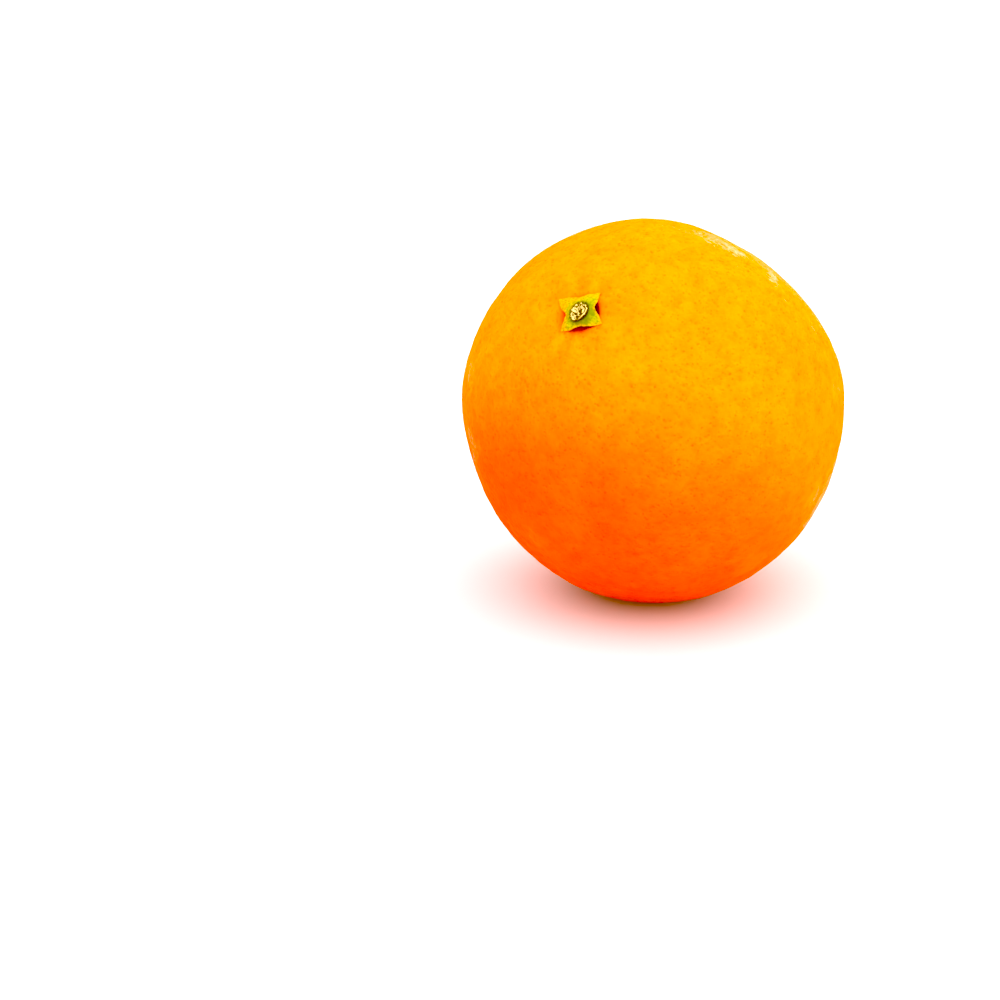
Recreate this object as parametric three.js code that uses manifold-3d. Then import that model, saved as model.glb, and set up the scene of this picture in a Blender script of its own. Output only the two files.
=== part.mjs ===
// A whole orange, as picked: the fruit in its pebbled rind, the star-shaped calyx on its stem end, and the
// dry stub of the stem standing in the middle of the calyx.
//
// Millimetres, +Z up. The fruit lies on its side on a small flat spot. The middle of that spot is the origin,
// and the stem end looks up, forwards (-Y) and to the left (-X).
// Each piece is modelled in the fruit's own frame, which has the fruit's centre at its origin and the stem
// axis along +Z. One group then lays all the pieces down together.
import * as THREE from "three";
import { mergeVertices } from "three/addons/utils/BufferGeometryUtils.js";
import Module from "manifold-3d";

const { MathUtils, Vector2, Vector3 } = THREE;

// The fruit as a whole.
const EQUATOR_RADIUS = 37.4;
const POLE_RADIUS = 37.8;
const FLAT_SPOT_RADIUS = 6.5;
const FRUIT_DETAIL = 21; // cuts along each edge of the icosahedron that the fruit starts from
const STEM_END_GATHERING = 0.3; // how much closer together the vertices stand towards the stem end

// How the fruit lies, in degrees.
const STEM_ELEVATION = 44.3; // from the horizon up to the stem axis
const STEM_AZIMUTH = 30.9; // from straight ahead round to the left

// Flattened cheeks: broad shallow hollows round directions given in the lying fruit's frame.
const CHEEKS = [
  { towards: new Vector3(0.57, 0.22, 0.79), depth: 1.75, halfWidth: 28 },
  { towards: new Vector3(0.94, -0.01, -0.34), depth: 0.6, halfWidth: 28 },
  { towards: new Vector3(-0.9, -0.11, -0.43), depth: 1.15, halfWidth: 30 },
  { towards: new Vector3(-0.3, 0.92, 0.25), depth: 0.9, halfWidth: 32 },
];

// The stem end: a wide shallow basin, a pocket in its middle under the calyx, and flutes that fade outwards.
const BASIN = { depth: 0.9, radius: 8.5 };
const POCKET = { depth: 0.8, radius: 4 };
const FLUTES = { count: 7, depth: 0.4, start: 3.5, peak: 6.5, end: 15 };

// The blossom end: a dimple, and in it the low scar that the flower's style leaves.
const DIMPLE = { depth: 0.7, radius: 7 };
const STYLE_SCAR = { height: 0.5, radius: 2.2 };

// The rind's unevenness in swells of falling size, which die away towards the calyx.
const SWELLS = [
  { wavelength: 31, height: 0.08 },
  { wavelength: 15, height: 0.03 },
  { wavelength: 8, height: 0.012 },
];
const SWELLS_START = 3;
const SWELLS_FULL = 6;

// The calyx: four sepals that share a disc. Each has its direction round the stem axis, its length, and the
// distance from the axis of the notch that follows it.
const SEPALS = [
  { towards: -31.5, length: 4.9, notch: 2.9 },
  { towards: 78, length: 5.1, notch: 3 },
  { towards: 162, length: 5.5, notch: 3.5 },
  { towards: 248.5, length: 6.8, notch: 2.8 },
];
const TIP_SHARPNESS = 1.7;
const SEPAL_THICKNESS = 0.6;
const NOTCH_LIFT = 0.3; // how much higher the calyx's edge stands in a notch than at a tip
const DISC = { radius: 2.8, rise: 0.5, depth: 0.9 };
const CALYX_SEGMENTS = { perSepal: 16, through: 14 };

// The stem's stub, a slightly oval plug that stands in a socket in the calyx. Its ovalness is how much
// longer it is along the fruit's own X than it is round, and shorter across.
const STUB = { radius: 1.75, ovalness: 0.08, height: 1.5, rim: 0.35, hollow: 0.2, segments: 36 };
const SOCKET_DEPTH = 1.1;
const CLEARANCE = 0.3; // between pieces that touch

const COLOURS = { rind: 0xff9a0a, sepals: 0xa8b43a, wood: 0xcbb284 };

const wasm = await Module();
wasm.setup();

const gaussian = (x, width) => Math.exp(-((x / width) ** 2));

// ---- How the fruit lies ----

const stemDirection = new Vector3(0, 0, 1)
  .applyAxisAngle(new Vector3(1, 0, 0), MathUtils.degToRad(90 - STEM_ELEVATION))
  .applyAxisAngle(new Vector3(0, 0, 1), MathUtils.degToRad(-STEM_AZIMUTH));
// The fruit's own +X is the meridian that ends up lowest.
const lowestMeridian = new Vector3(0, 0, -1).addScaledVector(stemDirection, stemDirection.z).normalize();
const sideMeridian = new Vector3().crossVectors(stemDirection, lowestMeridian);
const layingDown = new THREE.Quaternion().setFromRotationMatrix(
  new THREE.Matrix4().makeBasis(lowestMeridian, sideMeridian, stemDirection),
);
const standingUp = layingDown.clone().invert();
const down = new Vector3(0, 0, -1).applyQuaternion(standingUp);

// ---- The fruit's surface, by direction from the fruit's centre ----

const cheeks = CHEEKS.map(({ towards, depth, halfWidth }) => ({
  towards: towards.clone().normalize().applyQuaternion(standingUp),
  depth,
  halfWidth: MathUtils.degToRad(halfWidth),
}));

// The distance over the surface from the stem axis.
function distanceFromStem(direction) {
  return Math.acos(MathUtils.clamp(direction.z, -1, 1)) * EQUATOR_RADIUS;
}

// The smooth body: a sphere stretched between its poles, with cheeks, a basin and a dimple.
function bodyRadius(direction) {
  const across = Math.hypot(direction.x, direction.y) / EQUATOR_RADIUS;
  const along = direction.z / POLE_RADIUS;
  const fromStem = distanceFromStem(direction);
  const fromBlossom = Math.PI * EQUATOR_RADIUS - fromStem;
  let radius = 1 / Math.hypot(across, along);
  for (const cheek of cheeks)
    radius -= cheek.depth * gaussian(direction.angleTo(cheek.towards), cheek.halfWidth);
  radius -= BASIN.depth * gaussian(fromStem, BASIN.radius);
  radius -= DIMPLE.depth * gaussian(fromBlossom, DIMPLE.radius);
  return radius + STYLE_SCAR.height * gaussian(fromBlossom, STYLE_SCAR.radius);
}

function fluteDepth(direction, fromStem) {
  const around = Math.atan2(direction.y, direction.x);
  const wave = Math.cos(FLUTES.count * around + Math.sin(2 * around)) / 2 + 0.5;
  const rise = MathUtils.smoothstep(fromStem, FLUTES.start, FLUTES.peak);
  const fall = 1 - MathUtils.smoothstep(fromStem, FLUTES.peak, FLUTES.end);
  return FLUTES.depth * wave * rise * fall;
}

function swellHeight(point) {
  let height = 0;
  for (const { wavelength, height: amplitude } of SWELLS) {
    const x = (point.x / wavelength) * 2 * Math.PI + wavelength;
    const y = (point.y / wavelength) * 2 * Math.PI;
    const z = (point.z / wavelength) * 2 * Math.PI;
    height += amplitude * (Math.sin(x) * Math.cos(y) + Math.sin(y) * Math.cos(z) + Math.sin(z) * Math.cos(x));
  }
  return height;
}

function rindPoint(direction) {
  const fromStem = distanceFromStem(direction);
  const body = bodyRadius(direction);
  const swell = swellHeight(direction.clone().multiplyScalar(body));
  const clearOfCalyx = MathUtils.smoothstep(fromStem, SWELLS_START, SWELLS_FULL);
  const pocket = POCKET.depth * gaussian(fromStem, POCKET.radius);
  const relief = swell * clearOfCalyx - pocket - fluteDepth(direction, fromStem);
  return direction.clone().multiplyScalar(body + relief);
}

// How far the flat spot lies below the fruit's centre.
const restDepth = Math.sqrt(bodyRadius(down) ** 2 - FLAT_SPOT_RADIUS ** 2);

// ---- Shaping ----

// Moves every vertex of a geometry, and leaves one closed mesh whose triangles share their vertices.
function reshaped(geometry, move) {
  const bare = new THREE.BufferGeometry();
  bare.setAttribute("position", geometry.getAttribute("position").clone());
  bare.setIndex(geometry.index);
  const merged = mergeVertices(bare, 1e-4);
  const position = merged.getAttribute("position");
  for (let i = 0; i < position.count; i++) {
    const moved = move(new Vector3().fromBufferAttribute(position, i));
    position.setXYZ(i, moved.x, moved.y, moved.z);
  }
  merged.computeVertexNormals();
  return merged;
}

// Profile points of radius and height, turned round the stem axis and drawn out into an oval.
function turned(profile) {
  const points = profile.map(([radius, height]) => new Vector2(radius, height));
  const lathe = new THREE.LatheGeometry(points, STUB.segments);
  const [longer, shorter] = [1 + STUB.ovalness, 1 - STUB.ovalness];
  return reshaped(lathe, (vertex) => new Vector3(vertex.z * longer, vertex.x * shorter, vertex.y));
}

function solidOf(geometry) {
  const vertProperties = new Float32Array(geometry.getAttribute("position").array);
  const triVerts = new Uint32Array(geometry.index.array);
  return new wasm.Manifold(new wasm.Mesh({ numProp: 3, vertProperties, triVerts }));
}

function geometryOf(solid) {
  const mesh = solid.getMesh();
  const geometry = new THREE.BufferGeometry();
  geometry.setAttribute("position", new THREE.BufferAttribute(mesh.vertProperties, 3));
  geometry.setIndex(new THREE.BufferAttribute(mesh.triVerts, 1));
  geometry.computeVertexNormals();
  return geometry;
}

// ---- Pieces ----

function fruitGeometry() {
  return reshaped(new THREE.IcosahedronGeometry(1, FRUIT_DETAIL), (vertex) => {
    const fromStem = Math.acos(MathUtils.clamp(vertex.z, -1, 1));
    const gathered = fromStem - STEM_END_GATHERING * Math.sin(fromStem);
    const around = Math.atan2(vertex.y, vertex.x);
    const outward = new Vector3(Math.cos(around), Math.sin(around), 0);
    const direction = new Vector3(0, 0, Math.cos(gathered)).addScaledVector(outward, Math.sin(gathered));
    const point = rindPoint(direction);
    const below = Math.max(0, point.dot(down) - restDepth);
    return point.addScaledVector(down, -below);
  });
}

// The height of the smooth body above the fruit's centre, at a distance from the stem axis.
function bodyHeight(fromAxis, around) {
  const direction = new Vector3(fromAxis * Math.cos(around), fromAxis * Math.sin(around), POLE_RADIUS);
  return bodyRadius(direction.normalize()) * direction.z;
}

// The calyx's edge, found by counting sepals round from the first: its direction, its distance from the stem
// axis, and how near it is to a tip, from 0 in a notch to 1 at the tip.
function calyxEdge(phase) {
  const before = SEPALS[Math.floor(phase) % SEPALS.length];
  const after = SEPALS[Math.ceil(phase) % SEPALS.length];
  const share = phase - Math.floor(phase);
  const gap = MathUtils.euclideanModulo(after.towards - before.towards, 360);
  const tipness = Math.abs(1 - 2 * share) ** TIP_SHARPNESS;
  const nearest = share < 0.5 ? before : after;
  return {
    around: MathUtils.degToRad(before.towards + share * gap),
    radius: MathUtils.lerp(before.notch, nearest.length, tipness),
    tipness,
  };
}

// A ball flattened into a shell that follows the body, thicker over the disc in its middle.
function calyxShell() {
  const around = CALYX_SEGMENTS.perSepal * SEPALS.length;
  return reshaped(new THREE.SphereGeometry(1, around, CALYX_SEGMENTS.through), (vertex) => {
    const turn = MathUtils.euclideanModulo(Math.atan2(vertex.x, vertex.z) / (2 * Math.PI), 1);
    const phase = Math.round(turn * around) / CALYX_SEGMENTS.perSepal;
    const edge = calyxEdge(phase);
    const share = Math.hypot(vertex.x, vertex.z);
    const fromAxis = share * edge.radius;
    const disc = 1 - MathUtils.smoothstep(fromAxis, DISC.radius - 0.8, DISC.radius);
    const halfThickness = (SEPAL_THICKNESS / 2) * Math.sign(vertex.y) * Math.sqrt(Math.abs(vertex.y));
    const middle = bodyHeight(fromAxis, edge.around) + CLEARANCE + SEPAL_THICKNESS / 2;
    const lift = NOTCH_LIFT * (1 - edge.tipness) * share ** 2;
    const swelling = disc * (vertex.y > 0 ? DISC.rise : -DISC.depth);
    const height = middle + lift + halfThickness + swelling;
    return new Vector3(fromAxis * Math.cos(edge.around), fromAxis * Math.sin(edge.around), height);
  });
}

const discTop = bodyHeight(0, 0) + CLEARANCE + SEPAL_THICKNESS + DISC.rise;
const socketFloor = discTop - SOCKET_DEPTH;

function calyxGeometry() {
  const radius = STUB.radius + CLEARANCE;
  const top = discTop + 1;
  const socket = turned([[0, socketFloor], [radius, socketFloor], [radius, top], [0, top]]);
  return geometryOf(solidOf(calyxShell()).subtract(solidOf(socket)));
}

function stubGeometry() {
  const { radius, height, rim, hollow } = STUB;
  const foot = socketFloor + CLEARANCE;
  const top = foot + height;
  return turned([[0, foot], [radius, foot], [radius, top - rim], [radius - rim, top], [0, top - hollow]]);
}

function piece(name, geometry, colour, roughness) {
  const mesh = new THREE.Mesh(geometry, new THREE.MeshStandardMaterial({ color: colour, roughness }));
  mesh.name = name;
  return mesh;
}

// ---- Assembly ----

const orange = new THREE.Group();
orange.quaternion.copy(layingDown);
orange.position.z = restDepth;
orange.add(
  piece("fruit", fruitGeometry(), COLOURS.rind, 0.42),
  piece("calyx", calyxGeometry(), COLOURS.sepals, 0.6),
  piece("stem_stub", stubGeometry(), COLOURS.wood, 0.85),
);

export default orange;
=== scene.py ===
"""A ripe whole orange on a pale studio floor: its pebbled rind, its calyx and the dry stub of its stem.

Every piece is shaped in the fruit's own frame, in millimetres: the fruit's centre at the origin and the stem
axis along +Z. `lay_down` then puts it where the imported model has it, in metres and on the flat spot.
"""

import math

import bmesh
import bpy
import numpy as np
from bpy.props import FloatProperty, FloatVectorProperty, IntProperty, PointerProperty
from bpy.types import Operator, Panel, PropertyGroup
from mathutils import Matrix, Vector, kdtree, noise


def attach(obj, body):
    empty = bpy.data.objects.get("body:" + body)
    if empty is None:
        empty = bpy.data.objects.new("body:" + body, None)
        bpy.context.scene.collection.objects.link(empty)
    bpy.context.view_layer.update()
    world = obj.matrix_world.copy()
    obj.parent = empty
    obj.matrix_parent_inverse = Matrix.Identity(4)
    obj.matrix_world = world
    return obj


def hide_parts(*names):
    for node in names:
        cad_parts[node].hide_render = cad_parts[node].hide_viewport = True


bl_info = {
    "name": "Orange",
    "version": (1, 0, 0),
    "blender": (4, 5, 0),
    "location": "View3D > Sidebar > Orange",
    "description": "Makes a ripe whole orange with its calyx and stem stub, and a pale studio round it",
    "category": "Add Mesh",
}

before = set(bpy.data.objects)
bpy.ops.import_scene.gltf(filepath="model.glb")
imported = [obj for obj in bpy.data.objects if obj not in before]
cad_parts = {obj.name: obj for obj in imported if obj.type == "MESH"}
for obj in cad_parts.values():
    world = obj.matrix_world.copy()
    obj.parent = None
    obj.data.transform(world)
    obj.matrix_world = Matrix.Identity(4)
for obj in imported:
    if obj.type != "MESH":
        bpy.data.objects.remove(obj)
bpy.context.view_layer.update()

MM = 0.001

# Lengths are in millimetres and angles in degrees. Unless its comment says otherwise, a pair in brackets has
# the distances from the stem axis between which something sets in or ends. A RANGE has the least and the most
# that a random draw can give.

# The body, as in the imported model.
EQUATOR_RADIUS = 37.4
POLE_RADIUS = 37.8
FLAT_SPOT_RADIUS = 6.5
STEM_ELEVATION = 44.3
STEM_AZIMUTH = 30.9
# (direction in the lying fruit's frame, depth, half width) of each flattened cheek.
CHEEKS = (
    ((0.57, 0.22, 0.79), 1.75, 28),
    ((0.94, -0.01, -0.34), 0.6, 28),
    ((-0.9, -0.11, -0.43), 1.15, 30),
    ((-0.3, 0.92, 0.25), 0.9, 32),
)
BASIN_DEPTH, BASIN_RADIUS = 0.9, 8.5
DIMPLE_DEPTH, DIMPLE_RADIUS = 0.7, 7
SCAR_HEIGHT, SCAR_RADIUS = 0.5, 2.2

# The rind's slow swells, as (wavelength, height), the pocket that the calyx sits in, and the soft flutes.
SWELLS = ((31, 0.08), (15, 0.03), (8, 0.012))
SWELL_START = (3, 6)
POCKET_DEPTH, POCKET_WALL = 0.7, (2.9, 4.3)
FLUTES, FLUTE_DEPTH = 7, 0.4
FLUTE_START, FLUTE_END = (3.5, 6.5), (6.5, 15)

# The finer creases among the flutes. Each strays from its place, in radians, and bends, in radians for each
# millimetre, and fades out between CREASE_FADE and its own length from the stem axis.
CREASES, CREASE_SEED = 13, 4
CREASE_LENGTH_RANGE = (7, 15)
CREASE_HALF_WIDTH_RANGE = (0.5, 0.9)
CREASE_DEPTH_RANGE = (0.1, 0.26)
CREASE_STRAY = 0.12
CREASE_BEND = 0.02
CREASE_FADE = 4

# The pits over the oil glands. Their radii and how far they stray from their places are in spacings, the room
# of each is in squares of the spacing, and their depths are shares of the deepest pit's.
PIT_RADIUS_RANGE, PIT_DEPTH_RANGE = (0.28, 0.46), (0.35, 1)
PIT_STRAY = 0.2
PIT_ROOM = 0.87
PIT_SEED = 11
GOLDEN_ANGLE = math.pi * (3 - math.sqrt(5))
# Where the pitted skin starts, from the stem axis and from the middle of the blossom end.
SKIN_START, SKIN_START_AT_BLOSSOM = (3.5, 5), (1.5, 3)
# The uneven lie of the rind between its pits.
GRAIN_HEIGHT, GRAIN_WAVELENGTH = 0.08, 3.2
# How much finer each octave of a fractal noise is than the one before.
OCTAVE_STEP = 2.1
# How strongly the rind's vertices gather towards the stem end.
GATHERING = 0.3

# The side of the lying fruit, mostly its underside, that gets painted shade: a deeper red-orange in place of
# shade and of red light reflected onto the rind, and the cosines to it at which that red starts and is full.
PAINTED_SHADE_TOWARDS, PAINTED_SHADE_COSINES = (-0.3, -0.605, -0.74), (0.06, 0.83)
# The direction round the stem axis in which the painted shadow on the rind's seat under the calyx is darkest
# and widest.
SEAT_SHADOW_TOWARDS = 130
# The painted shadow's edge, how far that shifts to either side, and its darkness on its light and dark side.
SEAT_EDGE = (2.7, 3.7)
SEAT_SHIFT = 0.5
SEAT_DARKNESS = (0.4, 1)
# Where the painted shade in the hollow round the calyx ends, and the radius of the blossom scar's brown.
HOLLOW_SHADE_END, SCAR_STAIN_RADIUS = (3.2, 6), SCAR_RADIUS * 0.8
# The patches of thick wax, and the heights of their noise between which the wax thickens.
WAX_WAVELENGTH = 11
WAX_SEED = 286
WAX_HEIGHTS = (0.25, 0.55)
# What the rind's material shows: patches, puckers, mottling, sheen, grain, the ragged edge of the scar and
# the finest grain by their wavelengths, pores and specks by their spacings, and the depths of the relief.
PATCH_WAVELENGTH = 24
PUCKER_WAVELENGTH = 3.2
MOTTLE_WAVELENGTH = 2.4
SHEEN_WAVELENGTH = 7
SKIN_GRAIN_WAVELENGTH = 0.8
SCAR_RAGGED_WAVELENGTH = 0.9
FINE_WAVELENGTH = 0.45
FINE_DEPTH = 0.02
PORE_SPACING = 0.95
PORE_DEPTH = 0.09
SPECK_SPACING = 19

# (direction round the stem axis, length, distance of the notch that follows from the axis) of each sepal.
SEPALS = ((-31.5, 4.9, 2.9), (78, 5.1, 3.0), (162, 5.5, 3.5), (248.5, 6.8, 2.8))
CALYX_SEGMENTS, CALYX_RINGS = 180, 56
# How sharply a sepal narrows to its tip, and how far and how often its edge frays.
SEPAL_SHARPNESS = 1.7
SEPAL_FRAY = 0.22
SEPAL_FRAY_SCALE = 4
# A sepal spans the pocket a little above the smooth body, then lies down and sinks a little into the rind.
SEPAL_SPAN_LIFT = 0.1
SEPAL_SINK = 0.03
SEPAL_LIES = (3.4, 4.6)
# The share of its thickness that a sepal has lost at its edge, and how far the frayed edge curls.
SEPAL_THINNING, SEPAL_CURL = 0.7, 0.08
RIB_HEIGHT = 0.14
RIB_HALF_WIDTH = 0.45
RIB_START = (1.8, 2.6)
# The veins repeat with a sine of the distance from the midrib and are where that sine is near 0.
VEIN_DEPTH = 0.05
VEIN_RATE = 6
VEIN_HALF_WIDTH = 0.45
VEIN_START = (1.9, 2.8)
VEIN_WANDER, SEPAL_WAVE = 0.12, 0.06
# The thick disc in the middle: how far it stands up and down, and the moat in it round the stub.
DISC_RISE = 0.35
DISC_DEPTH = 0.75
DISC_END = (2.1, 2.9)
MOAT_DEPTH, MOAT_WALL = 0.3, (1.8, 2.05)
# The darker ring round the stub, the distance at which a sepal counts as its tip, and the shares of a
# sepal's reach between which its edge changes colour.
COLLAR_RADIUS, COLLAR_HALF_WIDTH = 1.95, 0.28
TIP_DISTANCE, EDGE_SHARES = 6.4, (0.8, 1)
# The direction round the stem axis in which the calyx has turned yellow.
YELLOW_SEPALS_TOWARDS = -98
SEPAL_PATCH_WAVELENGTH = 1.6
SEPAL_GRAIN_WAVELENGTH = 0.4
SEPAL_GRAIN_DEPTH = 0.05

# How much longer the stem's stub is along the fruit's own X than it is round, and shorter across.
STUB_OVALNESS = 0.08
# The middle of the calyx is STUB_LEVEL above the smooth body, and the stub's foot STUB_FOOT below that.
STUB_LEVEL, STUB_FOOT = 0.95, 1.1
# The worn rim of the smooth stub, and how much deeper its middle is.
STUB_RIM_DROP = 0.3
STUB_RIM_WIDTH = 0.28
STUB_HOLLOW = 0.2
STUB_RINGS = 90
STUB_SEGMENTS = 120
WELD_DISTANCE = 1e-5
# The heights from the stub's top between which its broken top starts.
STUB_TOP_HEIGHTS = (-0.35, -0.15)
# The direction round the stem axis of what is left of the rim, and the cosines to it where the rim sets in.
STUB_RIM_TOWARDS, STUB_RIM_COSINES = 110, (-0.1, 0.35)
# The splinters lie in the direction of the grain. A length across it counts SPLINTER_STRETCH times.
STUB_GRAIN = 60
SPLINTERS = 20
SPLINTER_SEED = 23
SPLINTER_LIFT_RANGE, SPLINTER_STRETCH = (-0.18, 0.12), 2.3
# How far the splinters' edges fray, and how often. Without its seed, that pattern would follow the clock.
SPLINTER_FRAY, SPLINTER_FRAY_SCALE = 0.3, 2.2
SPLINTER_FRAY_SEED = 1795487042
# How far a splinter has sunk when painted shade starts to darken it and when that shade is full, and how dark
# it then is.
SUNKEN_DEPTHS, SUNKEN_DARKNESS = (0.07, 0.17), 0.9
# The distances from the cracks' lines between which their darkness, partly painted shade, ends, how much
# their frays widen it, and their depth.
CRACK_EDGE = (0.04, 0.22)
CRACK_WIDENING = 0.5
CRACK_DEPTH = 0.25
SIDE_DARKNESS = 0.85
# The groove just inside the rim, and the distances from the side between which the splinters set in.
GROOVE_INSET = 0.42
GROOVE_HALF_WIDTH = 0.12
SPLINTER_INSETS = (0.22, 0.4)
# The lumps that widen and lift the dry wood, and the soft corners of its outline.
LUMP_SCALE = 2.4
LUMP_WIDTH = 0.17
LUMP_HEIGHT = 0.2
STUB_CORNERS = 3
STUB_CORNER_SIZE = 0.07
STUB_CORNER_SHIFT = 2
WOOD_STAIN_WAVELENGTH = 1.1
WOOD_GRAIN_WAVELENGTH = 0.3
WOOD_GRAIN_DEPTH = 0.08

# The stage. Each of its two lights stands in its direction from the fruit.
FLOOR_RADIUS, FLOOR_SEGMENTS = 4000, 96
KEY_TOWARDS, KEY_ANGLE = (0.2, -0.35, 1), 140
RIM_LIGHT_TOWARDS, RIM_LIGHT_COLOUR = (0.34, 0.93, 0.16), (1, 0.8, 0.9)
RIM_LIGHT_DISTANCE, RIM_LIGHT_SIZE = 800, 250
# How far the middle of the fruit is to the right of the middle of the picture, and above it.
FRUIT_RIGHT, FRUIT_UP = 29.4, 18
# The red, green and blue that come out as 0 in the picture, which deepens its shades.
BLACK_LEVEL = (0.03, 0.06, 0.12)


# ---- Sizes and colours that a user would change ----


def size(label, text, millimetres):
    return FloatProperty(
        name=label,
        description=text,
        default=millimetres * MM,
        min=0,
        unit="LENGTH",
        precision=5,
    )


def strength(label, text, value):
    return FloatProperty(name=label, description=text, default=value, min=0)


def share(label, text, value):
    return FloatProperty(name=label, description=text, default=value, min=0, max=1, subtype="FACTOR")


def colour(label, text, *rgb):
    return FloatVectorProperty(name=label, description=text, default=rgb, min=0, max=1, subtype="COLOR")


class RindSettings(PropertyGroup):
    cuts: IntProperty(
        name="Cuts",
        description="Cuts across each face of the cube that the rind starts from",
        default=127,
        min=7,
    )
    pit_spacing: size("Pit spacing", "Distance between the pits over the oil glands", 1.35)
    pit_depth: size("Pit depth", "Depth of the deepest pits", 0.19)
    ripe: colour("Ripe", "Colour of most of the rind", 0.8, 0.208, 0.0005)
    pale: colour("Pale", "Colour of the yellower patches", 0.82, 0.217, 0.0006)
    # Painted shade: the deeper red-orange painted on the underside, in the flutes and creases and round the
    # calyx, in place of shade and of red light reflected onto the rind.
    painted_shade: colour("Blush", "Colour of the side that ripened deepest", 0.77, 0.082, 0.0003)
    # Gland also colours the pits, where it is partly painted shade.
    gland: colour("Gland", "What the oil glands and the pits over them leave of the colour", 0.9, 0.62, 0.3)
    scar: colour("Scar", "Colour of the blossom scar and of specks", 0.2, 0.075, 0.015)
    # Seat: the colour of the painted shadow on the rind's sunken seat under the calyx.
    seat: colour("Seat", "Colour of the rind's sunken seat under the calyx", 0.16, 0.008, 0.005)
    wax: share("Wax", "Strength of the clear wax on the rind", 0.1)


class CalyxSettings(PropertyGroup):
    thickness: size("Thickness", "Thickness of a sepal", 0.5)
    notch_lift: size("Notch lift", "How much higher the edge stands in a notch than at a tip", 0.3)
    heart: colour("Heart", "Colour next to the stem", 0.125, 0.145, 0.001)
    blade: colour("Blade", "Colour of the middle of a sepal", 0.33, 0.28, 0.002)
    tip: colour("Tip", "Colour of a sepal's tip and edge", 0.62, 0.26, 0.002)
    # Collar: the darker ring round the stem.
    collar: colour("Collar", "Colour of the bruised ring round the stem", 0.07, 0.055, 0.003)


class StubSettings(PropertyGroup):
    radius: size("Radius", "Radius of the stub", 1.75)
    rise: size("Rise", "How far the stub stands out of the calyx", 0.42)
    wood: colour("Wood", "Colour of the dry wood", 0.6, 0.44, 0.17)
    # The colour of the cracks, also used for the painted shade in them, in the groove and on the sunken
    # splinters, and for the stains.
    crack_and_shade: colour("Crack", "Colour in the cracks", 0.09, 0.05, 0.006)


class StageSettings(PropertyGroup):
    floor: colour("Floor", "Colour of the floor", 0.7, 0.55, 0.55)
    surround: strength("Surround", "Brightness of the white surround", 1.05)
    key: strength("Key", "Strength of the soft key light", 6.0)
    rim: strength("Rim", "Watts of the light behind the fruit", 0.8)
    elevation: FloatProperty(
        name="Elevation",
        description="How far the camera looks down",
        default=math.radians(18),
        subtype="ANGLE",
    )
    distance: size("Distance", "Distance from the camera to the middle of the fruit", 600)
    lens: FloatProperty(name="Lens", description="Focal length in millimetres", default=110.9, min=1)


# ---- The fruit's own frame ----


def unit(vector):
    return np.asarray(vector, dtype=float) / np.linalg.norm(vector)


def own_axes():
    """The fruit's own X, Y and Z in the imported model's frame. X is the meridian that ends up lowest."""
    elevation, azimuth = math.radians(STEM_ELEVATION), math.radians(STEM_AZIMUTH)
    stem = np.array(
        (
            -math.sin(azimuth) * math.cos(elevation),
            -math.cos(azimuth) * math.cos(elevation),
            math.sin(elevation),
        )
    )
    lowest = unit(np.array((0, 0, -1)) + stem * stem[2])
    return np.array((lowest, np.cross(stem, lowest), stem))


OWN_AXES = own_axes()
DOWN = OWN_AXES @ (0, 0, -1)


def gaussian(distance, width):
    return np.exp(-((distance / width) ** 2))


def smoothstep(value, low, high):
    step = np.clip((value - low) / (high - low), 0, 1)
    return step * step * (3 - 2 * step)


def from_stem(directions):
    """Distance over the surface from the stem axis."""
    return np.arccos(np.clip(directions[:, 2], -1, 1)) * EQUATOR_RADIUS


def from_blossom(stem_distance):
    """Distance over the surface from the middle of the blossom end."""
    return math.pi * EQUATOR_RADIUS - stem_distance


def around_stem(points):
    """Directions round the stem axis, in radians."""
    return np.arctan2(points[:, 1], points[:, 0])


def body_radius(directions):
    """Radius of the smooth body: a sphere stretched between its poles, with cheeks, a basin and a dimple."""
    across = np.hypot(directions[:, 0], directions[:, 1]) / EQUATOR_RADIUS
    radius = 1 / np.hypot(across, directions[:, 2] / POLE_RADIUS)
    for towards, depth, half_width in CHEEKS:
        cosine = np.clip(directions @ (OWN_AXES @ unit(towards)), -1, 1)
        radius -= depth * gaussian(np.arccos(cosine), math.radians(half_width))
    stem_distance = from_stem(directions)
    blossom_distance = from_blossom(stem_distance)
    radius -= BASIN_DEPTH * gaussian(stem_distance, BASIN_RADIUS)
    radius -= DIMPLE_DEPTH * gaussian(blossom_distance, DIMPLE_RADIUS)
    return radius + SCAR_HEIGHT * gaussian(blossom_distance, SCAR_RADIUS)


REST_DEPTH = math.sqrt(body_radius(DOWN[None])[0] ** 2 - FLAT_SPOT_RADIUS**2)


def lay_down(points):
    """Points of the fruit's own frame, in millimetres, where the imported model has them, in metres."""
    laid = points @ OWN_AXES
    laid[:, 2] = np.maximum(laid[:, 2] + REST_DEPTH, 0)
    return laid * MM


def noise_at(points, scale):
    """Smooth noise round 0 at each point, with features about 1 / scale apart."""
    return np.array([noise.noise(Vector(point) * scale) for point in points])


def fractal_at(points, wavelength, fall_off, octaves, shift=0):
    """Noise round 0 at each point, in octaves, of which the widest has features about a wavelength apart."""
    moved = Vector((0, 0, shift))
    places = (Vector(point / wavelength) + moved for point in points)
    return np.array([noise.fractal(place, fall_off, OCTAVE_STEP, octaves) for place in places])


def height_over(radius_of, distances, around):
    """Height, above the fruit's centre, of a surface at distances from the stem axis."""
    across = distances[:, None] * np.column_stack((np.cos(around), np.sin(around)))
    directions = np.column_stack((across, np.full(len(distances), POLE_RADIUS - BASIN_DEPTH)))
    directions /= np.linalg.norm(directions, axis=1)[:, None]
    return radius_of(directions) * directions[:, 2]


# ---- Meshes and objects ----


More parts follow.
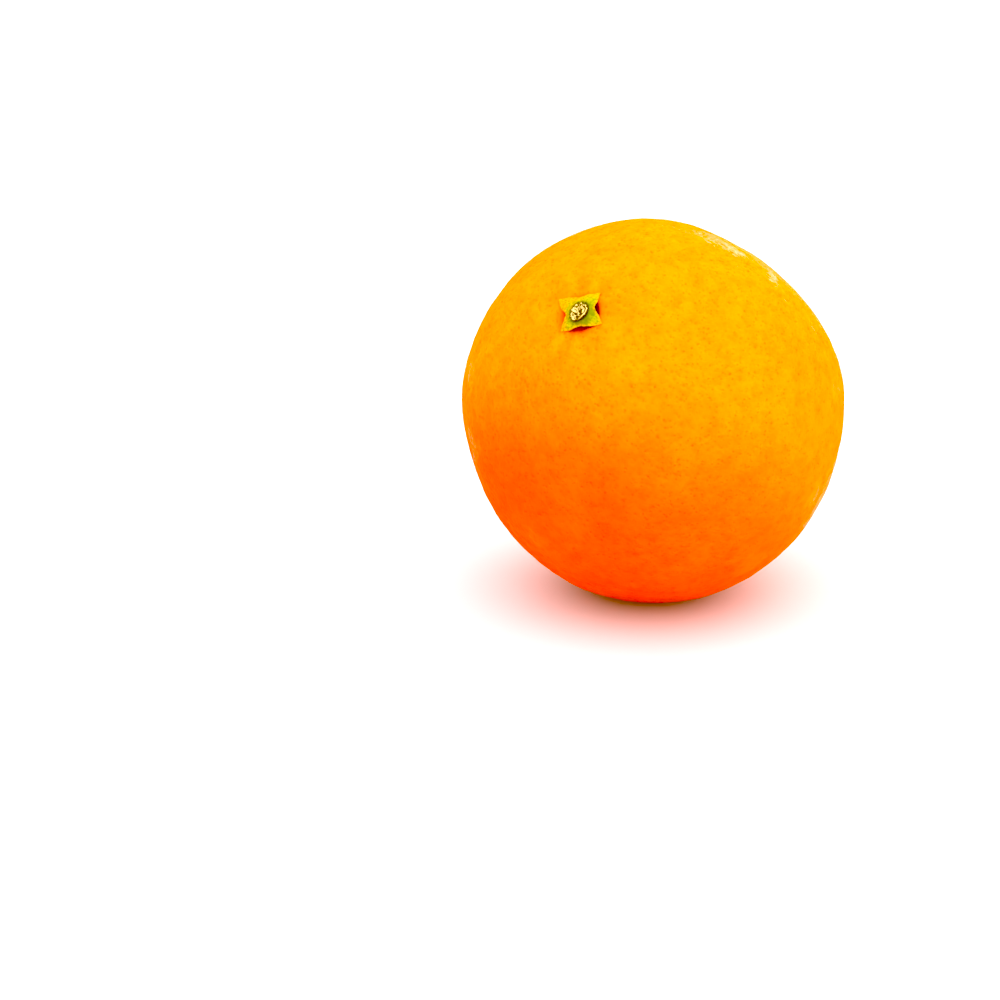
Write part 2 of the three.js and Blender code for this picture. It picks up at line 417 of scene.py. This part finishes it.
def coordinates(mesh):
    flat = np.empty(len(mesh.vertices) * 3)
    mesh.vertices.foreach_get("co", flat)
    return flat.reshape(-1, 3)


def move_vertices(mesh, points):
    mesh.vertices.foreach_set("co", points.ravel())
    mesh.update()


def set_attribute(mesh, name, values):
    """A number for each vertex, which the piece's material reads by name."""
    attribute = mesh.attributes.new(name, "FLOAT", "POINT")
    attribute.data.foreach_set("value", np.asarray(values, dtype=np.float32))


def mesh_from(bm, name):
    bmesh.ops.recalc_face_normals(bm, faces=bm.faces)
    mesh = bpy.data.meshes.new(name)
    bm.to_mesh(mesh)
    bm.free()
    return mesh


def add_piece(name, mesh, material, node):
    """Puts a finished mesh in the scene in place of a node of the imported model."""
    mesh.materials.append(material)
    mesh.shade_smooth()
    piece = bpy.data.objects.new(name, mesh)
    bpy.context.scene.collection.objects.link(piece)
    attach(piece, "root")
    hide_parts(node)


# ---- Materials ----


class Value:
    """A socket's number. An expression on it adds the Math nodes that work it out."""

    def __init__(self, shader, socket):
        self.shader = shader
        self.socket = socket

    def math(self, operation, first, second):
        inputs = {"Value": first, "Value_001": second}
        return self.shader.add("ShaderNodeMath", {"operation": operation}, inputs)

    def __add__(self, other):
        return self.math("ADD", self, other)

    def __radd__(self, other):
        return self.math("ADD", other, self)

    def __sub__(self, other):
        return self.math("SUBTRACT", self, other)

    def __rsub__(self, other):
        return self.math("SUBTRACT", other, self)

    def __mul__(self, other):
        return self.math("MULTIPLY", self, other)

    def __rmul__(self, other):
        return self.math("MULTIPLY", other, self)


class Shader:
    """A material, built node by node."""

    def __init__(self, name):
        self.material = bpy.data.materials.new(name)
        self.material.use_nodes = True
        self.tree = self.material.node_tree
        self.tree.nodes.clear()

    def add(self, kind, settings=None, inputs=None, output=None):
        """Adds a node: its settings first, then its sockets' values or links, by identifier."""
        node = self.tree.nodes.new(kind)
        for name, setting in (settings or {}).items():
            setattr(node, name, setting)
        sockets = {socket.identifier: socket for socket in node.inputs}
        for name, value in (inputs or {}).items():
            if isinstance(value, Value):
                self.tree.links.new(value.socket, sockets[name])
            else:
                sockets[name].default_value = value
        outputs = {socket.identifier: socket for socket in node.outputs}
        if not outputs:
            return None
        return Value(self, outputs[output] if output else node.outputs[0])

    def place(self):
        return self.add("ShaderNodeTexCoord", output="Object")

    def attribute(self, name):
        return self.add("ShaderNodeAttribute", {"attribute_name": name}, output="Fac")

    def noise(self, place, wavelength, detail=2.0):
        """Noise from 0 to 1 with features about a wavelength apart, in millimetres."""
        inputs = {"Vector": place, "Scale": 1 / (wavelength * MM), "Detail": detail}
        return self.add("ShaderNodeTexNoise", inputs=inputs, output="Fac")

    def cells(self, place, spacing, randomness=1.0):
        """Distance to the nearest of scattered points, in spacings."""
        inputs = {"Vector": place, "Scale": 1 / (spacing * MM), "Randomness": randomness}
        return self.add("ShaderNodeTexVoronoi", inputs=inputs, output="Distance")

    def ramp(self, value, start, end, low=0.0, high=1.0):
        """A value smoothly remapped from start..end to low..high, and held beyond them."""
        inputs = {"Value": value, "From Min": start, "From Max": end, "To Min": low, "To Max": high}
        return self.add("ShaderNodeMapRange", {"interpolation_type": "SMOOTHSTEP"}, inputs)

    def mix(self, factor, first, second, blend="MIX"):
        """A blend of two colours, from the first at 0 to the second, or to what they blend to, at 1."""
        inputs = {"Factor_Float": factor}
        for name, tint in (("A_Color", first), ("B_Color", second)):
            inputs[name] = tint if isinstance(tint, Value) else (*tint, 1)
        return self.add("ShaderNodeMix", {"data_type": "RGBA", "blend_type": blend}, inputs, "Result_Color")

    def bump(self, height, depth, below=None):
        """A normal from a height of 0 to 1, over a depth in millimetres."""
        inputs = {"Height": height, "Distance": depth * MM}
        if below:
            inputs["Normal"] = below
        return self.add("ShaderNodeBump", inputs=inputs)

    def finish(self, **inputs):
        """Adds the surface and its output. Socket names have underscores for their spaces."""
        surface = self.add(
            "ShaderNodeBsdfPrincipled",
            inputs={name.replace("_", " "): value for name, value in inputs.items()},
        )
        self.add("ShaderNodeOutputMaterial", inputs={"Surface": surface})
        return self.material


# ---- The rind ----


def swell_height(points):
    height = np.zeros(len(points))
    for wavelength, amplitude in SWELLS:
        x, y, z = (points / wavelength * 2 * math.pi).T
        x = x + wavelength
        height += amplitude * (np.sin(x) * np.cos(y) + np.sin(y) * np.cos(z) + np.sin(z) * np.cos(x))
    return height


def pocket_depth(stem_distance):
    """The sunken seat of the calyx, whose rim stands just outside the notches."""
    return POCKET_DEPTH * (1 - smoothstep(stem_distance, *POCKET_WALL))


def painted_seat_shadow(directions, stem_distance):
    """How dark the painted shadow on the seat of the calyx is, from 0 to 1. It is wider and darker on one
    side.
    """
    side = np.cos(around_stem(directions) - math.radians(SEAT_SHADOW_TOWARDS))
    lightest, darkest = SEAT_DARKNESS
    darkness = lightest + (darkest - lightest) * (1 + side) / 2
    return darkness * (1 - smoothstep(stem_distance - SEAT_SHIFT * side, *SEAT_EDGE))


def crease_depth(directions, stem_distance):
    """Soft flutes round the calyx, and finer creases of uneven length between them."""
    around = around_stem(directions)
    wave = np.cos(FLUTES * around + np.sin(2 * around)) / 2 + 0.5
    depth = FLUTE_DEPTH * wave * smoothstep(stem_distance, *FLUTE_START)
    depth *= 1 - smoothstep(stem_distance, *FLUTE_END)
    random = np.random.default_rng(CREASE_SEED)
    for towards in np.arange(CREASES) / CREASES * 2 * math.pi:
        bend = random.normal(0, CREASE_BEND)
        towards += random.normal(0, CREASE_STRAY)
        length = random.uniform(*CREASE_LENGTH_RANGE)
        offset = (around - towards - bend * stem_distance + math.pi) % (2 * math.pi) - math.pi
        narrow = gaussian(offset * stem_distance, random.uniform(*CREASE_HALF_WIDTH_RANGE))
        fade = 1 - smoothstep(stem_distance, CREASE_FADE, length)
        depth += random.uniform(*CREASE_DEPTH_RANGE) * narrow * fade
    return depth


def rind_radius(directions):
    """The rind without its pits and grain."""
    stem_distance = from_stem(directions)
    radius = body_radius(directions)
    swell = swell_height(directions * radius[:, None]) * smoothstep(stem_distance, *SWELL_START)
    return radius + swell - pocket_depth(stem_distance) - crease_depth(directions, stem_distance)


def pit_centres(spacing, random):
    """Points over the unit sphere on a jittered spiral, about a spacing apart on the fruit."""
    count = round(4 * math.pi * EQUATOR_RADIUS**2 / (PIT_ROOM * spacing**2))
    z = 1 - (2 * np.arange(count) + 1) / count
    ring = np.sqrt(1 - z * z)
    around = np.arange(count) * GOLDEN_ANGLE
    centres = np.column_stack((ring * np.cos(around), ring * np.sin(around), z))
    centres += random.normal(0, PIT_STRAY * spacing / EQUATOR_RADIUS, centres.shape)
    return centres / np.linalg.norm(centres, axis=1)[:, None]


def pit_depths(directions, spacing, deepest):
    """Depth of the pits over the oil glands, each with a size of its own."""
    random = np.random.default_rng(PIT_SEED)
    centres = pit_centres(spacing, random)
    tree = kdtree.KDTree(len(centres))
    for index, centre in enumerate(centres):
        tree.insert(centre, index)
    tree.balance()
    nearest = [tree.find(direction)[1:] for direction in directions]
    pit, distance = np.array(nearest).T
    pit = pit.astype(int)
    pit_radius = random.uniform(*PIT_RADIUS_RANGE, len(centres))[pit] * spacing
    depth = random.uniform(*PIT_DEPTH_RANGE, len(centres))[pit] * deepest
    return depth * np.clip(1 - (distance * EQUATOR_RADIUS / pit_radius) ** 2, 0, 1) ** 1.5


def wax_patches(points):
    """Where the wax is thick, from 0 to 1, in patches about a centimetre across."""
    height = fractal_at(points, WAX_WAVELENGTH, fall_off=0.8, octaves=4, shift=WAX_SEED)
    return smoothstep(height, *WAX_HEIGHTS)


def even_directions(mesh):
    """Directions to the vertices of a finely cut cube, spread evenly and gathered towards the stem end."""
    directions = np.tan(coordinates(mesh) * math.pi / 4)
    directions /= np.linalg.norm(directions, axis=1)[:, None]
    polar = np.arccos(np.clip(directions[:, 2], -1, 1))
    polar -= GATHERING * np.sin(polar)
    around = around_stem(directions)
    return np.column_stack((np.sin(polar) * np.cos(around), np.sin(polar) * np.sin(around), np.cos(polar)))


def rind_mesh(settings):
    bm = bmesh.new()
    bmesh.ops.create_cube(bm, size=2)
    bmesh.ops.subdivide_edges(bm, edges=bm.edges, cuts=settings.cuts, use_grid_fill=True)
    mesh = mesh_from(bm, "peel")
    directions = even_directions(mesh)
    stem_distance = from_stem(directions)
    blossom_distance = from_blossom(stem_distance)
    open_skin = smoothstep(stem_distance, *SKIN_START)
    open_skin *= smoothstep(blossom_distance, *SKIN_START_AT_BLOSSOM)
    pits = pit_depths(directions, settings.pit_spacing / MM, settings.pit_depth / MM) * open_skin
    grain = fractal_at(directions * EQUATOR_RADIUS, GRAIN_WAVELENGTH, fall_off=0.7, octaves=3)
    radius = rind_radius(directions) + GRAIN_HEIGHT * grain * open_skin - pits
    move_vertices(mesh, lay_down(directions * radius[:, None]))
    set_attribute(mesh, "pit", pits / (settings.pit_depth / MM))
    set_attribute(mesh, "scar", gaussian(blossom_distance, SCAR_STAIN_RADIUS))
    # Where the hollow round the calyx gets painted shade.
    set_attribute(mesh, "pocket", 1 - smoothstep(stem_distance, *HOLLOW_SHADE_END))
    # Painted shadow on the seat under the calyx.
    set_attribute(mesh, "seat", painted_seat_shadow(directions, stem_distance))
    # How deep the flutes and creases are, which the material darkens as painted shade.
    set_attribute(mesh, "crease_shade", crease_depth(directions, stem_distance) / FLUTE_DEPTH)
    set_attribute(mesh, "wax", wax_patches(directions * EQUATOR_RADIUS))
    # Painted shade on the underside and lower front, as if shaded and lit by reflected red light.
    towards_painted_shade = directions @ (OWN_AXES @ unit(PAINTED_SHADE_TOWARDS))
    set_attribute(mesh, "painted_shade", smoothstep(towards_painted_shade, *PAINTED_SHADE_COSINES))
    return mesh


def rind_material(settings):
    shader = Shader("waxy rind")
    place = shader.place()
    pit = shader.attribute("pit")
    patches = shader.noise(place, PATCH_WAVELENGTH, detail=3)
    mottle = shader.noise(place, MOTTLE_WAVELENGTH, detail=4)
    puckers = shader.ramp(shader.noise(place, PUCKER_WAVELENGTH, detail=1), 0.35, 0.65)
    pores = shader.ramp(shader.cells(place, PORE_SPACING), 0.06, 0.3, 1, 0)
    tint = shader.mix(shader.ramp(patches, 0.35, 0.7), settings.ripe, settings.pale)
    # Painted shade: the rind deepened to red-orange towards its underside, in patches.
    painted_shade = shader.attribute("painted_shade") * shader.ramp(patches, 0.2, 0.8, 1.1, 0.8)
    tint = shader.mix(painted_shade * 0.9, tint, settings.painted_shade)
    # Painted shade in the flutes and creases round the calyx.
    tint = shader.mix(shader.attribute("crease_shade") * 0.2, tint, settings.painted_shade)
    # Painted shade in the hollow round the calyx, deepest next to it.
    tint = shader.mix(shader.attribute("pocket") * 0.75, tint, settings.painted_shade)
    grain = shader.noise(place, SKIN_GRAIN_WAVELENGTH, detail=3)
    # The pits' darkening is partly the oil glands' own colour and partly painted shade in the pits.
    glands = pit * pit * 0.6 + pores * 0.3 + puckers * 0.2
    glands += shader.ramp(mottle, 0.35, 0.75) * 0.3 + shader.ramp(grain, 0.3, 0.7) * 0.15
    tint = shader.mix(glands, tint, settings.gland, "MULTIPLY")
    speck = shader.ramp(shader.cells(place, SPECK_SPACING), 0.015, 0.035, 0.7, 0)
    ragged = shader.noise(place, SCAR_RAGGED_WAVELENGTH, detail=3)
    scarred = shader.ramp(shader.attribute("scar") + ragged * 0.8, 0.85, 1.15)
    tint = shader.mix(speck + scarred * 0.9, tint, settings.scar)
    # Painted shadow on the seat under the calyx, darker and wider on one side.
    tint = shader.mix(shader.attribute("seat") * 0.9, tint, settings.seat)
    sheen = shader.ramp(shader.noise(place, SHEEN_WAVELENGTH, detail=4), 0.3, 0.7, 0.36, 0.5)
    fine = shader.bump(shader.noise(place, FINE_WAVELENGTH, detail=2), FINE_DEPTH)
    relief = shader.bump(1 - pores, PORE_DEPTH, fine)
    coat = shader.attribute("wax") * shader.ramp(grain, 0.3, 0.6, 1.5, 3.5) + 0.2
    return shader.finish(
        Base_Color=tint,
        Roughness=sheen + pit * 0.1,
        Specular_IOR_Level=0.01,
        Subsurface_Weight=0.1,
        Subsurface_Radius=(1, 0.35, 0.08),
        Subsurface_Scale=0.0015,
        Coat_Weight=coat * settings.wax,
        Coat_Roughness=0.22,
        Normal=relief,
    )


class ORANGE_OT_rind(Operator):
    """Make the pebbled rind of the whole fruit"""

    bl_idname = "orange.rind"
    bl_label = "Make the Rind"

    def execute(self, context):
        settings = context.scene.orange_rind
        add_piece("peel", rind_mesh(settings), rind_material(settings), "fruit")
        return {"FINISHED"}


# ---- The calyx ----


def calyx_edge(around):
    """The edge's distance from the stem axis in a direction, its tipness (0 in a notch, 1 at a tip) and the
    direction of the nearest sepal's midrib."""
    towards, lengths, notches = np.array(SEPALS).T
    towards = np.radians(towards)
    turned = (around - towards[0]) % (2 * math.pi)
    starts = np.append((towards - towards[0]) % (2 * math.pi), 2 * math.pi)
    before = np.searchsorted(starts, turned, side="right") - 1
    part = (turned - starts[before]) / (starts[before + 1] - starts[before])
    nearest = np.where(part < 0.5, before, before + 1) % len(SEPALS)
    tipness = np.abs(1 - 2 * part) ** SEPAL_SHARPNESS
    radius = notches[before] + (lengths[nearest] - notches[before]) * tipness
    return radius, tipness, towards[nearest]


def calyx_bed(distance, around):
    """Height of the calyx's underside: straight across the pocket, then down on the rind."""
    lying = smoothstep(distance, *SEPAL_LIES)
    across = height_over(body_radius, distance, around) + SEPAL_SPAN_LIFT
    on_rind = height_over(rind_radius, distance, around) - SEPAL_SINK
    return across * (1 - lying) + on_rind * lying


def calyx_veins(offset, distance, wander):
    """How strongly a vein shows, from 0 to 1, at an offset across from the midrib."""
    wave = np.sin((offset + VEIN_WANDER * wander) * VEIN_RATE)
    return gaussian(wave, VEIN_HALF_WIDTH) * smoothstep(distance, *VEIN_START)


def calyx_mesh(settings):
    """A ball, flattened and drawn out into the star. Its lower half becomes the underside."""
    bm = bmesh.new()
    bmesh.ops.create_uvsphere(bm, u_segments=CALYX_SEGMENTS, v_segments=CALYX_RINGS, radius=1)
    mesh = mesh_from(bm, "calyx_star")
    ball = coordinates(mesh)
    reach = np.hypot(ball[:, 0], ball[:, 1])
    around = around_stem(ball)
    edge, tipness, midrib = calyx_edge(around)
    circle = np.column_stack((np.cos(around), np.sin(around)))
    ragged = noise_at(np.column_stack((circle, np.zeros(len(circle)))), SEPAL_FRAY_SCALE)
    distance = reach * (edge + SEPAL_FRAY * ragged)
    offset = distance * np.sin(around - midrib)
    wander = noise_at(ball * distance[:, None], 1)
    rib = RIB_HEIGHT * gaussian(offset, RIB_HALF_WIDTH) * smoothstep(distance, *RIB_START)
    vein = calyx_veins(offset, distance, wander)
    disc = 1 - smoothstep(distance, *DISC_END)
    across = distance[:, None] * circle
    from_stub = np.linalg.norm(across / (1 + STUB_OVALNESS, 1 - STUB_OVALNESS), axis=1)
    moat = MOAT_DEPTH * (1 - smoothstep(from_stub, *MOAT_WALL))
    relief = DISC_RISE * disc + rib - VEIN_DEPTH * vein + SEPAL_WAVE * wander - moat
    thickness = settings.thickness / MM * (1 - SEPAL_THINNING * reach**3)
    height = calyx_bed(distance, around)
    height += thickness / 2 * (1 + np.sign(ball[:, 2]) * np.sqrt(np.abs(ball[:, 2])))
    height += settings.notch_lift / MM * (1 - tipness) * reach**2 + SEPAL_CURL * ragged * reach**3
    height += np.where(ball[:, 2] > 0, relief, -DISC_DEPTH * disc)
    move_vertices(mesh, lay_down(np.column_stack((across, height))))
    set_attribute(mesh, "reach", distance / TIP_DISTANCE)
    set_attribute(mesh, "edge", smoothstep(reach, *EDGE_SHARES))
    set_attribute(mesh, "vein", vein)
    set_attribute(mesh, "collar", gaussian(from_stub - COLLAR_RADIUS, COLLAR_HALF_WIDTH))
    set_attribute(mesh, "yellowed", 0.5 + 0.5 * np.cos(around - math.radians(YELLOW_SEPALS_TOWARDS)))
    return mesh


def calyx_material(settings):
    shader = Shader("sepal tissue")
    place = shader.place()
    reach = shader.attribute("reach")
    patches = shader.noise(place, SEPAL_PATCH_WAVELENGTH, detail=4)
    grain = shader.noise(place, SEPAL_GRAIN_WAVELENGTH, detail=4)
    age = reach + shader.attribute("yellowed") * 0.3 + patches * 0.9
    tint = shader.mix(shader.ramp(age, 0.7, 1.1), settings.heart, settings.blade)
    tint = shader.mix(shader.ramp(age, 1.05, 1.45), tint, settings.tip)
    tint = shader.mix(shader.attribute("edge") * 0.7, tint, settings.tip)
    tint = shader.mix(shader.attribute("vein") * shader.ramp(grain, 0.35, 0.6) * 0.35, tint, settings.heart)
    tint = shader.mix(shader.ramp(grain, 0.45, 0.65) * 0.6, tint, settings.heart)
    dark_ring = shader.attribute("collar") * shader.ramp(grain, 0.3, 0.6, 0.35, 0.9)
    tint = shader.mix(dark_ring, tint, settings.collar)
    return shader.finish(
        Base_Color=tint,
        Roughness=shader.ramp(grain, 0.2, 0.8, 0.5, 0.7),
        Specular_IOR_Level=0.12,
        Subsurface_Weight=0.1,
        Subsurface_Radius=(0.6, 0.6, 0.1),
        Subsurface_Scale=0.0008,
        Normal=shader.bump(grain, SEPAL_GRAIN_DEPTH),
    )


class ORANGE_OT_calyx(Operator):
    """Make the star of sepals on the stem end"""

    bl_idname = "orange.calyx"
    bl_label = "Make the Calyx"

    def execute(self, context):
        settings = context.scene.orange_calyx
        add_piece("calyx_star", calyx_mesh(settings), calyx_material(settings), "calyx")
        return {"FINISHED"}


# ---- The stem's stub ----


def splinters(points, radius):
    """How dark each point of the stub's top is, from 0 on sound wood to 1 in the cracks, and the lift of its
    splinter. The splinters are frayed and longer one way than across. The cracks' darkness is partly painted
    shade, and the sunken splinters are darkened with painted shade."""
    random = np.random.default_rng(SPLINTER_SEED)
    centres = random.uniform(-radius, radius, (SPLINTERS, 2))
    lifts = random.uniform(*SPLINTER_LIFT_RANGE, SPLINTERS)
    turn = math.radians(STUB_GRAIN)
    along = np.array((math.cos(turn), math.sin(turn)))
    across = np.array((-math.sin(turn), math.cos(turn))) * SPLINTER_STRETCH
    noise.seed_set(SPLINTER_FRAY_SEED)
    frays = np.array([noise.noise_vector(Vector(point) * SPLINTER_FRAY_SCALE)[:2] for point in points])
    frayed = points[:, :2] + SPLINTER_FRAY * frays
    gaps = np.linalg.norm((frayed[:, None] - centres) @ np.column_stack((along, across)), axis=2)
    order = np.argsort(gaps, axis=1)
    nearest, second = (np.take_along_axis(gaps, order[:, [k]], 1)[:, 0] for k in (0, 1))
    inner, outer = CRACK_EDGE
    crack_and_shade = 1 - smoothstep(second - nearest, inner, outer + CRACK_WIDENING * np.abs(frays[:, 0]))
    lift = lifts[order[:, 0]]
    return np.maximum(crack_and_shade, SUNKEN_DARKNESS * smoothstep(-lift, *SUNKEN_DEPTHS)), lift


def turned_stub(radius, top):
    """The smooth stub: its outline, cut finely and turned round the stem axis."""
    rim = (radius, top - STUB_RIM_DROP), (radius - STUB_RIM_WIDTH, top)
    profile = np.array([(0, -STUB_FOOT), (radius, -STUB_FOOT), *rim, (0, top - STUB_HOLLOW)])
    stations = np.append(0, np.cumsum(np.linalg.norm(np.diff(profile, axis=0), axis=1)))
    along = np.linspace(0, stations[-1], STUB_RINGS)
    across, heights = (np.interp(along, stations, column) for column in profile.T)
    bm = bmesh.new()
    outline = [bm.verts.new((x, 0, z)) for x, z in zip(across, heights)]
    edges = [bm.edges.new(pair) for pair in zip(outline, outline[1:])]
    bmesh.ops.spin(
        bm,
        geom=outline + edges,
        cent=(0, 0, 0),
        axis=(0, 0, 1),
        angle=2 * math.pi,
        steps=STUB_SEGMENTS,
        use_merge=True,
    )
    bmesh.ops.remove_doubles(bm, verts=bm.verts, dist=WELD_DISTANCE)
    return mesh_from(bm, "stub")


def stub_mesh(settings):
    radius, top = settings.radius / MM, settings.rise / MM
    mesh = turned_stub(radius, top)
    points = coordinates(mesh)
    distance = np.hypot(points[:, 0], points[:, 1])
    around = around_stem(points)
    crack_and_shade, lift = splinters(points, radius)
    on_top = smoothstep(points[:, 2] - top, *STUB_TOP_HEIGHTS)
    rimmed = smoothstep(np.cos(around - math.radians(STUB_RIM_TOWARDS)), *STUB_RIM_COSINES)
    inset = radius - distance
    groove = gaussian(inset - GROOVE_INSET, GROOVE_HALF_WIDTH) * rimmed
    inner = 1 - (1 - smoothstep(inset, *SPLINTER_INSETS)) * rimmed
    # The groove inside the rim is darkened like the cracks, partly as painted shade.
    dark = np.maximum(crack_and_shade * inner, groove)
    lumps = noise_at(points, LUMP_SCALE)
    corners = np.sin(STUB_CORNERS * around + STUB_CORNER_SHIFT)
    swell = 1 + STUB_CORNER_SIZE * corners + LUMP_WIDTH * lumps
    points[:, :2] *= swell[:, None] * (1 + STUB_OVALNESS, 1 - STUB_OVALNESS)
    points[:, 2] += on_top * (lift * inner + LUMP_HEIGHT * lumps - CRACK_DEPTH * dark)
    points[:, 2] += height_over(body_radius, np.zeros(1), np.zeros(1))[0] + STUB_LEVEL
    move_vertices(mesh, lay_down(points))
    set_attribute(mesh, "crack_and_shade", np.maximum(dark, SIDE_DARKNESS * (1 - on_top)))
    return mesh


def stub_material(settings):
    shader = Shader("dry stem wood")
    place = shader.place()
    grain = shader.noise(place, WOOD_GRAIN_WAVELENGTH, detail=4)
    stain = shader.noise(place, WOOD_STAIN_WAVELENGTH, detail=2)
    tint = shader.mix(shader.ramp(stain, 0.45, 0.8) * 0.5, settings.wood, settings.crack_and_shade)
    # Painted shade in the cracks, in the groove and on the sunken splinters, and the darker side of the stub.
    tint = shader.mix(shader.ramp(shader.attribute("crack_and_shade"), 0.2, 0.75), tint, settings.crack_and_shade)
    return shader.finish(
        Base_Color=tint,
        Roughness=shader.ramp(grain, 0.2, 0.8, 0.75, 0.95),
        Specular_IOR_Level=0.2,
        Normal=shader.bump(grain, WOOD_GRAIN_DEPTH),
    )


class ORANGE_OT_stub(Operator):
    """Make the dry stub of the stem"""

    bl_idname = "orange.stub"
    bl_label = "Make the Stem Stub"

    def execute(self, context):
        settings = context.scene.orange_stub
        add_piece("stub", stub_mesh(settings), stub_material(settings), "stem_stub")
        return {"FINISHED"}


# ---- The stage ----


def add_floor(settings):
    bm = bmesh.new()
    bmesh.ops.create_circle(bm, cap_ends=True, segments=FLOOR_SEGMENTS, radius=FLOOR_RADIUS * MM)
    mesh = mesh_from(bm, "floor")
    shader = Shader("floor paper")
    paper = shader.finish(Base_Color=(*settings.floor, 1), Roughness=0.9, Specular_IOR_Level=0.1)
    mesh.materials.append(paper)
    floor = bpy.data.objects.new("floor", mesh)
    bpy.context.scene.collection.objects.link(floor)


def add_surround(settings):
    world = bpy.data.worlds.new("surround")
    world.use_nodes = True
    background = world.node_tree.nodes["Background"]
    background.inputs["Color"].default_value = (1, 1, 1, 1)
    background.inputs["Strength"].default_value = settings.surround
    bpy.context.scene.world = world


def add_key(settings):
    light = bpy.data.lights.new("key", "SUN")
    light.energy = settings.key
    light.angle = math.radians(KEY_ANGLE)
    key = bpy.data.objects.new("key", light)
    key.rotation_euler = Vector(KEY_TOWARDS).to_track_quat("Z", "Y").to_euler()
    bpy.context.scene.collection.objects.link(key)


def add_rim(settings):
    """A soft box behind the fruit and to its right, which puts a sheen on the wax near the outline."""
    light = bpy.data.lights.new("rim", "AREA")
    light.energy = settings.rim
    light.size = RIM_LIGHT_SIZE * MM
    light.color = RIM_LIGHT_COLOUR
    rim = bpy.data.objects.new("rim", light)
    rim.visible_camera = False
    towards = Vector(RIM_LIGHT_TOWARDS).normalized()
    rim.location = Vector((0, 0, REST_DEPTH * MM)) + towards * RIM_LIGHT_DISTANCE * MM
    rim.rotation_euler = towards.to_track_quat("Z", "Y").to_euler()
    bpy.context.scene.collection.objects.link(rim)


def add_camera(settings):
    """A camera that sees the fruit up and to the right of the middle of its picture."""
    middle = Vector((0, 0, REST_DEPTH * MM))
    tilt = settings.elevation
    back = Vector((0, -math.cos(tilt), math.sin(tilt)))
    up = Vector((0, math.sin(tilt), math.cos(tilt)))
    aim = middle - Vector((FRUIT_RIGHT * MM, 0, 0)) - up * FRUIT_UP * MM
    camera = bpy.data.objects.new("camera", bpy.data.cameras.new("camera"))
    camera.data.lens = settings.lens
    camera.data.clip_start = 0.01
    camera.location = middle + back * settings.distance
    camera.rotation_euler = (camera.location - aim).to_track_quat("Z", "Y").to_euler()
    bpy.context.scene.collection.objects.link(camera)
    bpy.context.scene.camera = camera


class ORANGE_OT_stage(Operator):
    """Make the floor, the light and the camera"""

    bl_idname = "orange.stage"
    bl_label = "Make the Stage"

    def execute(self, context):
        settings = context.scene.orange_stage
        view = context.scene.view_settings
        view.view_transform = "Standard"
        view.use_curve_mapping = True
        view.curve_mapping.black_level = BLACK_LEVEL
        view.curve_mapping.update()
        add_floor(settings)
        add_surround(settings)
        add_key(settings)
        add_rim(settings)
        add_camera(settings)
        return {"FINISHED"}


# ---- The add-on ----

# The settings of each piece and of the stage, and the operator that makes it from them.
PIECES = {
    "orange_rind": (RindSettings, ORANGE_OT_rind),
    "orange_calyx": (CalyxSettings, ORANGE_OT_calyx),
    "orange_stub": (StubSettings, ORANGE_OT_stub),
    "orange_stage": (StageSettings, ORANGE_OT_stage),
}


class ORANGE_PT_sidebar(Panel):
    """The settings of each piece and of the stage, and the button that makes it"""

    bl_label = "Orange"
    bl_idname = "ORANGE_PT_sidebar"
    bl_space_type = "VIEW_3D"
    bl_region_type = "UI"
    bl_category = "Orange"

    def draw(self, context):
        for name, (group, operator) in PIECES.items():
            box = self.layout.box()
            for setting in group.__annotations__:
                box.prop(getattr(context.scene, name), setting)
            box.operator(operator.bl_idname)


CLASSES = (*(cls for pair in PIECES.values() for cls in pair), ORANGE_PT_sidebar)


def register():
    for cls in CLASSES:
        bpy.utils.register_class(cls)
    for name, (group, _) in PIECES.items():
        setattr(bpy.types.Scene, name, PointerProperty(type=group))


def unregister():
    for name in PIECES:
        delattr(bpy.types.Scene, name)
    for cls in reversed(CLASSES):
        bpy.utils.unregister_class(cls)


def main():
    register()
    bpy.ops.orange.rind()
    bpy.ops.orange.calyx()
    bpy.ops.orange.stub()
    bpy.ops.orange.stage()


if __name__ == "__main__":
    main()
